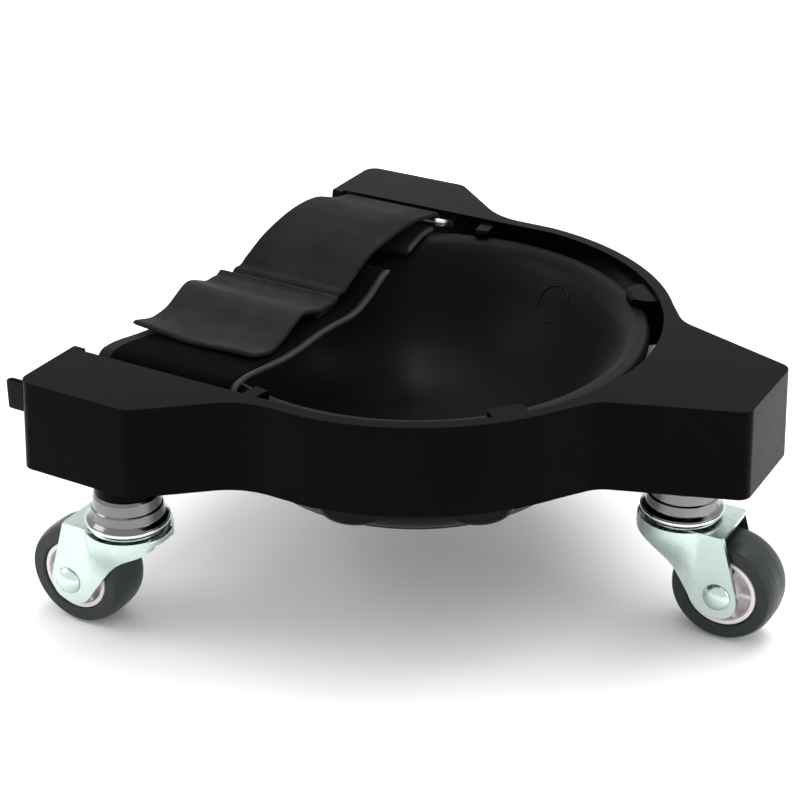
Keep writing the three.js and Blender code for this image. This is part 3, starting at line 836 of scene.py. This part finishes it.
def make_bail():
    """The wire that the flap is looped on: a bar along X with both ends bent into the lobe's wall."""
    line = []
    for x, inwards in ((BAIL_ENDS[0], -1), (BAIL_ENDS[1], 1)):
        corner = Vector((x, BAIL_Y, BAIL_Z))
        root = Vector((x, *BAIL_ROOT))
        leg = corner + (root - corner).normalized() * BAIL_BEND
        bar = corner + Vector((inwards * BAIL_BEND, 0, 0))
        shares = (0, 0.17, 0.33, 0.5, 0.67, 0.83, 1)
        turn = [leg * (1 - t) ** 2 + corner * 2 * t * (1 - t) + bar * t * t for t in shares]
        line += [root, *turn] if inwards < 0 else [*reversed(turn), root]
    dress(tube("bail_wire", line, BAIL_WIRE_R, 20), "steel", "platform", "steel", "strap_bail")


def make_strap():
    flap, flap_length = band("strap_far", FLAP_PATH, flap_edges, -1, lift=flap_lift)
    dress(flap, "strap", "strap", "strap_fabric", "strap_flap")
    tab, tab_length = band("strap_tab", TAB_PATH, tab_edges, -1, lift=tab_lift)
    dress(tab, "tab", "strap", "strap_fabric", "hook_tab")
    near, near_length = band("strap_near", LOOP_PATH, loop_edges, 1)
    dress(near, "edge", "platform", "loop_fabric", "strap_loop_band")
    pile, _ = band("strap_pile", LOOP_PATH[2:], lambda share: (-76, loop_edges(share)[1] - 2.2), 1,
                   thickness=PILE_THICKNESS, lift=lambda share, t: PILE_LIFT, across=40)
    dress(pile, "loop", "platform", "loop_fabric")
    piping = tube("strap_piping", front_edge_line(LOOP_PATH, loop_edges, 0.35, 1, 0.07), PIPING_R)
    dress(piping, "binding", "platform", "loop_fabric")
    under_line = front_edge_line(FLAP_PATH, flap_edges, 0, -1, 0.01, 0.17)
    under = tube("strap_under_piping", under_line, UNDER_PIPING_R)
    dress(under, "binding", "strap", "strap_fabric")
    low, high = (Vector(corner) / MM - CUP_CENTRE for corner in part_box("strap_tail"))
    tip, y = low.x + 0.6, (low.y + high.y) / 2
    tail_path = (
        (high.x, y - 1.1), (tip + 7, y - 1.2), (tip + 1.7, y - 1.2), (tip + 0.3, y - 0.9), (tip, y),
        (tip + 0.3, y + 0.9), (tip + 1.7, y + 1.2), (tip + 7, y + 1.1), (high.x, y + 1.1),
    )
    tail, _ = band("tail_loop", tail_path, lambda share: (low.z, high.z), 1, 1.1, across=12, lay=across_xy)
    dress(tail, "edge", "platform", "strap_fabric", "strap_tail")
    stitches_across("seam_threads", -8.6, lambda x: 96.75, (-81, -32))
    make_bail()


# =====================================================================================
# Casters: built about the swivel axis, trailing along +X, then stood in place
# =====================================================================================
HERE = Vector()


def stand(obj, place):
    """Turn or shift a caster's mesh by a matrix that works in millimetres about the origin."""
    scaled = place.copy()
    scaled.translation = place.translation * MM
    obj.data.transform(scaled)
    return obj


ABOUT_AXLE = Matrix.Translation((TRAIL, 0, WHEEL_R)) @ Matrix.Rotation(math.pi / 2, 4, "X")


def two_sided(half_profile):
    """A profile and its mirror image in height, joined into one closed outline."""
    return list(half_profile) + [(r, -h) for r, h in reversed(half_profile)]


def rounded_profile(corners, steps=5):
    return [(p.x, p.y) for p in rounded_outline(corners, steps)]


def fork_leg(sign):
    """One leg: its top follows the round plate, and it turns flat behind a crease."""
    def spaced(points, count):
        line = fine_line(points, 10)
        lengths = running_lengths(line)
        out = []
        for k in range(count):
            target = lengths[-1] * k / (count - 1)
            i = max(j for j, length in enumerate(lengths[:-1]) if length <= target + 1e-9)
            out.append(line[i].lerp(line[i + 1], (target - lengths[i]) / (lengths[i + 1] - lengths[i])))
        return out

    rows = 34
    rear = spaced([
        (20.5, 44.2), (22.6, 37), (25.3, 28), (27.3, 20.5), (27.1, 16), (25.1, 12.8), (22, 11.4), (19.8, 11.2),
    ], rows)
    front = spaced([
        (-14.2, 44.2), (-14.6, 39.8), (-6.6, 36), (0.2, 30), (6, 22.4), (11.4, 14.6), (14.4, 11.9), (19, 11.2),
    ], rows)
    columns = 30
    outer, inner = [], []
    for a, b in zip(rear, front):
        outer_row, inner_row = [], []
        for k in range(columns):
            point = a.lerp(b, k / (columns - 1))
            crease = 9.9 + 0.7 * (point.y - 12) / 32
            flat_side = FORK_OUTER_HALF
            if point.x < crease:
                circle = math.sqrt(max(FORK_DISC_R ** 2 - min(abs(point.x), FORK_DISC_R) ** 2, 0))
                low = FORK_OUTER_HALF - 0.1 * (crease - point.x)
                flat_side = low + (circle - low) * smoothstep(point.y, 25, 41.5)
            outer_row.append(Vector((point.x, sign * flat_side, point.y)))
            inner_row.append(Vector((point.x, sign * (flat_side - SHEET), point.y)))
        outer.append(outer_row)
        inner.append(inner_row)
    points = [p for row in outer for p in row] + [p for row in inner for p in row]
    under = rows * columns
    faces = []
    for i in range(rows - 1):
        for k in range(columns - 1):
            a = i * columns + k
            quad = (a, a + 1, a + columns + 1, a + columns)
            faces += [quad, tuple(under + v for v in reversed(quad))]
    rim = list(range(columns)) + [i * columns + columns - 1 for i in range(1, rows)]
    rim += [(rows - 1) * columns + k for k in range(columns - 2, -1, -1)]
    rim += [i * columns for i in range(rows - 2, 0, -1)]
    faces += [(a, b, under + b, under + a) for a, b in zip(rim, rim[1:] + rim[:1])]
    return outward(new_object("leg", points, faces, HERE))


def make_fork(side, place):
    """A round pressed plate with a rolled rim, a square roof over the wheel and two legs."""
    under_sheet, rim_foot, rim_inner = FORK_TOP_Z - SHEET, 41.2, FORK_DISC_R - SHEET
    cap = lathe("fork_sheet_" + side, rounded_profile([
        (STEM_HOLE_R, under_sheet, 0.2), (rim_inner, under_sheet, 0.6), (rim_inner, rim_foot, 0.2),
        (FORK_DISC_R, rim_foot, 0.3), (FORK_DISC_R, FORK_TOP_Z - 1.2, 0.8),
        (FORK_DISC_R - 2.2, FORK_TOP_Z - 0.5, 0.5), (FORK_DISC_R - 2.6, FORK_TOP_Z, 0.3),
        (STEM_HOLE_R, FORK_TOP_Z, 0.3),
    ]), 96, HERE)
    wheel_gap = box_solid((3, 40), (-FORK_INNER_HALF, FORK_INNER_HALF), (30, under_sheet), HERE)
    combine(cap, [wheel_gap], "DIFFERENCE")
    near_corners = [(20.7, FORK_OUTER_HALF, 1.5), (20.7, -FORK_OUTER_HALF, 1.5)]
    far_corners = [(2, -FORK_OUTER_HALF, 0), (2, FORK_OUTER_HALF, 0)]
    roof_line = rounded_outline(near_corners + far_corners)
    roof = prism("roof", roof_line, under_sheet, FORK_TOP_Z - 0.35, offset=HERE)
    combine(roof, [cylinder(STEM_HOLE_R, 0, 60, offset=HERE)], "DIFFERENCE")
    combine(cap, [roof, fork_leg(1), fork_leg(-1)], "UNION")
    axle_hole = stand(cylinder(3.3, -30, 30, offset=HERE), ABOUT_AXLE)
    above = box_solid((-30, 30), (-30, 30), (FORK_TOP_Z - 0.36, 60), HERE)
    combine(above, [cylinder(FORK_DISC_R - 2.2, 30, 70, offset=HERE)], "DIFFERENCE")
    combine(cap, [axle_hole, above], "DIFFERENCE")
    round_edges(cap, 0.32, 38, 2)
    stand(cap, place)
    dress(cap, "zinc", f"caster_{side}", "zinc_plate", f"fork_{side}")


def ball_cage(side, place):
    """Bearing balls held in a flat ring."""
    z = FORK_TOP_Z + 1.7
    cage = lathe("cage", rounded_profile([
        (9.1, z - 0.3, 0.1), (10.5, z - 0.3, 0.1), (10.5, z + 0.3, 0.1), (9.1, z + 0.3, 0.1)], 3), 64, HERE)
    balls = []
    steps = 12
    for i in range(BALL_COUNT):
        angle = 2 * math.pi * i / BALL_COUNT
        turns = [math.pi * k / steps for k in range(steps + 1)]
        arc = [(BALL_R * math.sin(a), -BALL_R * math.cos(a)) for a in turns]
        ball = lathe("ball", [(max(r, 0), h) for r, h in arc], 20, HERE)
        spot = Matrix.Translation((BALL_RING_R * math.cos(angle), BALL_RING_R * math.sin(angle), z))
        balls.append(stand(ball, spot))
    combine(cage, balls, "UNION")
    cage.name = f"ball_cage_{side}"
    smooth(stand(cage, place), 40)
    dress(cage, "steel", f"caster_{side}", "steel", f"ball_ring_{side}")


def make_hub(side, place):
    """A rim and a boss joined by a thin web and spokes."""
    edge = [
        (4.5, 0, 0), (4.5, 8.8, 0.3), (6.6, 8.8, 0.5), (6.9, 3.0, 1.0), (11.3, 3.0, 1.0), (11.6, 8.4, 0.5),
        (13.35, 8.4, 0.4), (13.35, 0, 0),
    ]
    half = [(p.x, p.y) for p in rounded_outline(edge, 4)]
    web = lathe(f"hub_moulding_{side}", half[1:-1] + [(r, -h) for r, h in reversed(half[1:-1])], 96, HERE)
    spokes = []
    for i in range(SPOKE_COUNT):
        spoke = box_solid((6.2, 12.0), (-0.9, 0.9), (-6.8, 6.8), HERE)
        round_edges(spoke, 0.3, 35, 2)
        settle(spoke)
        spokes.append(stand(spoke, Matrix.Rotation(2 * math.pi * i / SPOKE_COUNT, 4, "Z")))
    combine(web, spokes, "UNION")
    smooth(stand(stand(web, ABOUT_AXLE), place), 38)
    dress(web, "hub", f"wheel_{side}", "wheel_plastic", f"hub_{side}")


def turned_pieces():
    """Name, CAD node, look, slot, body, closed profile, and whether the piece turns about the axle."""
    race = [
        (4.3, 51.7, 0), (8.2, 51.7, 0.5), (10.8, 50.4, 0.5), (12.0, 46.2, 0.5), (14.9, 46.2, 0.4),
        (15.0, 47.7, 0.5), (13.5, 49.2, 0.7), (13.1, 52.6, 0.6), (12.5, 53.2, 0.4), (12.0, 57.0, 0.6),
        (11.2, 58.3, 0.5), (9.6, 58.3, 0.3), (9.6, 53.3, 0.3), (4.3, 53.3, 0),
    ]
    rivet_end = [
        (0.0, 15.0), (1.6, 14.9), (3.1, 14.5), (4.3, 13.8), (5.0, 13.0), (5.2, 12.45), (3.0, 12.4), (3.0, 0.5),
    ]
    tyre_edge = [
        (13.7, 0.5, 0), (13.7, 8.5, 0.1), (14.3, 9.0, 0.3), (18.3, 9.0, 0.5), (18.9, 8.1, 0.5),
        (19.6, 6.2, 1.5), (WHEEL_R, 3.0, 4.0), (WHEEL_R, 0.5, 0),
    ]
    tyre = [(p.x, p.y) for p in rounded_outline(tyre_edge, 6)]
    bolt = [
        (0, 38.4, 0), (3.9, 38.4, 0.6), (5.4, 39.4, 0.4), (5.4, 40.3, 0.2), (4.0, 40.3, 0), (4.0, 89.6, 0.4),
        (0, 90, 0),
    ]
    ring = [(3.3, 9.4, 0.1), (5.6, 9.4, 0.1), (5.6, 10.1, 0.1), (3.3, 10.1, 0.1)]
    far_ring = [(r, -h, bend) for r, h, bend in reversed(ring)]
    washer = [(4.3, 40.6, 0.15), (8.0, 40.6, 0.3), (8.0, 42.2, 0.3), (4.3, 42.2, 0.15)]
    bush = [(3.1, -9.1, 0.2), (4.2, -9.1, 0.3), (4.2, 9.1, 0.3), (3.1, 9.1, 0.2)]
    insert = [(4.3, 58.9, 0.4), (7.0, 58.9, 0.4), (7.0, 93.0, 0.3), (4.3, 93.0, 0)]
    return [
        # The race dome's chrome is painted dark, a painted reflection of the frame over it.
        ("race_dome", "upper_race", "chrome_painted_dark", "chrome", "platform", rounded_profile(race), False),
        ("stem_bolt", "stem", "steel", "steel", "platform", rounded_profile(bolt), False),
        ("lock_washer", "retaining_washer", "steel", "steel", "platform", rounded_profile(washer), False),
        ("boss_sleeve", "insert", "steel", "steel", "platform", rounded_profile(insert), False),
        ("rivet", "axle", "zinc", "zinc_plate", "caster", two_sided(rivet_end), True),
        ("side_washer", "spacer_near", "steel", "steel", "caster", rounded_profile(ring), True),
        ("far_washer", "spacer_far", "steel", "steel", "caster", rounded_profile(far_ring), True),
        ("wheel_bush", "bush", "steel", "steel", "wheel", rounded_profile(bush), True),
        ("tyre_band", "tyre", "tyre", "tyre_polyurethane", "wheel", two_sided(tyre), True),
    ]


def make_casters():
    for side in SIDES:
        place = caster_place(side)
        for name, node, look, slot, body, profile, about_axle in turned_pieces():
            piece = lathe(f"{name}_{side}", profile, 96, HERE)
            if about_axle:
                stand(piece, ABOUT_AXLE)
            smooth(stand(piece, place), 40)
            dress(piece, look, body if body == "platform" else f"{body}_{side}", slot, f"{node}_{side}")
        lip = lathe(f"race_lip_{side}", rounded_profile([
            (14.6, 46.1, 0.3), (15.45, 46.1, 0.4), (15.45, 47.5, 0.4), (14.6, 47.5, 0.3)], 4), 96, HERE)
        dress(smooth(stand(lip, place), 40), "chrome", "platform", "chrome")
        make_fork(side, place)
        ball_cage(side, place)
        make_hub(side, place)


def dress_kept_nodes():
    """Materials for the CAD nodes whose shape stays."""
    kept = {"clamp_bar": "steel"}
    kept.update({f"clamp_screw_{i}": "steel" for i in (1, 2, 3)})
    kept.update({f"jam_nut_{side}": "chrome" for side in SIDES})
    for node, look in kept.items():
        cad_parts[node].data.materials.clear()
        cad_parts[node].data.materials.append(LOOKS[look])


def make_cup_mark():
    """A shallow moulded ring, open for part of its turn, on the pad's wall."""
    face = [(p.x, p.y) for p in fine_line(PAD_FACE, 6)]
    centre = Vector(MARK_CENTRE)
    slope = Vector((-0.5, -0.866))
    sunk = 0.05
    steps = 48
    points = []
    for i in range(steps + 1):
        turn = math.radians(MARK_START + MARK_SWEEP * i / steps)
        spot = centre - slope * MARK_R * math.sin(turn)
        (r0, z0), (r1, z1) = next((a, b) for a, b in zip(face, face[1:]) if a[1] >= spot.y >= b[1])
        r = r0 + (r1 - r0) * (spot.y - z0) / (z1 - z0) + sunk
        around = MARK_PLACE - MARK_R * math.cos(turn) / r
        points.append((r * math.cos(around), r * math.sin(around), spot.y))
    dress(tube("cup_mark", points, MARK_WIRE_R, 10), "liner", "platform", "liner_rubber")


make_frame()
make_cup()
make_cup_mark()
make_strap()
make_casters()
dress_kept_nodes()

# =====================================================================================
# Light, floor and camera
# =====================================================================================
CAMERA_BACK = Vector((0.4376, -0.7753, 0.4554)).normalized()
CAMERA_TARGET = Vector((13.6, -35.9, DECK_Z - 20)) + CUP_CENTRE
CAMERA_DISTANCE = 710.3
CAMERA_LENS = 87.75
LIGHTS_AIM = (0, 0, 0.05)


def add_camera():
    data = bpy.data.cameras.new("camera")
    data.lens = CAMERA_LENS
    data.clip_start = 0.01
    camera = bpy.data.objects.new("camera", data)
    camera.rotation_euler = CAMERA_BACK.to_track_quat("Z", "Y").to_euler()
    camera.location = (CAMERA_TARGET + CAMERA_BACK * CAMERA_DISTANCE) * MM
    bpy.context.scene.collection.objects.link(camera)
    bpy.context.scene.camera = camera


def add_light(name, place, size, power):
    """A soft rectangular lamp; place and size in metres, power in watts."""
    data = bpy.data.lights.new(name, "AREA")
    data.shape = "RECTANGLE"
    data.size, data.size_y = size
    data.energy = power
    light = bpy.data.objects.new(name, data)
    light.location = place
    light.rotation_euler = (Vector(place) - Vector(LIGHTS_AIM)).to_track_quat("Z", "Y").to_euler()
    bpy.context.scene.collection.objects.link(light)


def add_floor():
    """A plain pale floor, sized in metres."""
    half = 3.0
    corners = [(-half, -half, 0), (half, -half, 0), (half, half, 0), (-half, half, 0)]
    mesh = bpy.data.meshes.new("floor")
    mesh.from_pydata(corners, [], [(0, 1, 2, 3)])
    floor = bpy.data.objects.new("floor", mesh)
    bpy.context.scene.collection.objects.link(floor)
    look = Look("floor_paint")
    look.colour(look.ranged(look.noise(3, 2), 0, 1), (0.96, 0.96, 0.96), (0.98, 0.98, 0.98))
    look.roughness(look.noise(5, 2), 0.7, 0.8)
    floor.data.materials.append(look.material)


def add_world():
    world = bpy.data.worlds.new("studio")
    world.use_nodes = True
    background = world.node_tree.nodes["Background"]
    background.inputs["Color"].default_value = (1, 1, 1, 1)
    background.inputs["Strength"].default_value = 1.0
    bpy.context.scene.world = world
    bpy.context.scene.view_settings.view_transform = "Standard"


add_camera()
add_world()
add_floor()
add_light("top", (0.1, 0.5, 1.5), (1.2, 1.2), 19)
add_light("right", (1.4, 0.1, 0.6), (0.8, 0.8), 3)
add_light("left", (-1.1, -0.6, 1.0), (0.7, 0.7), 5)
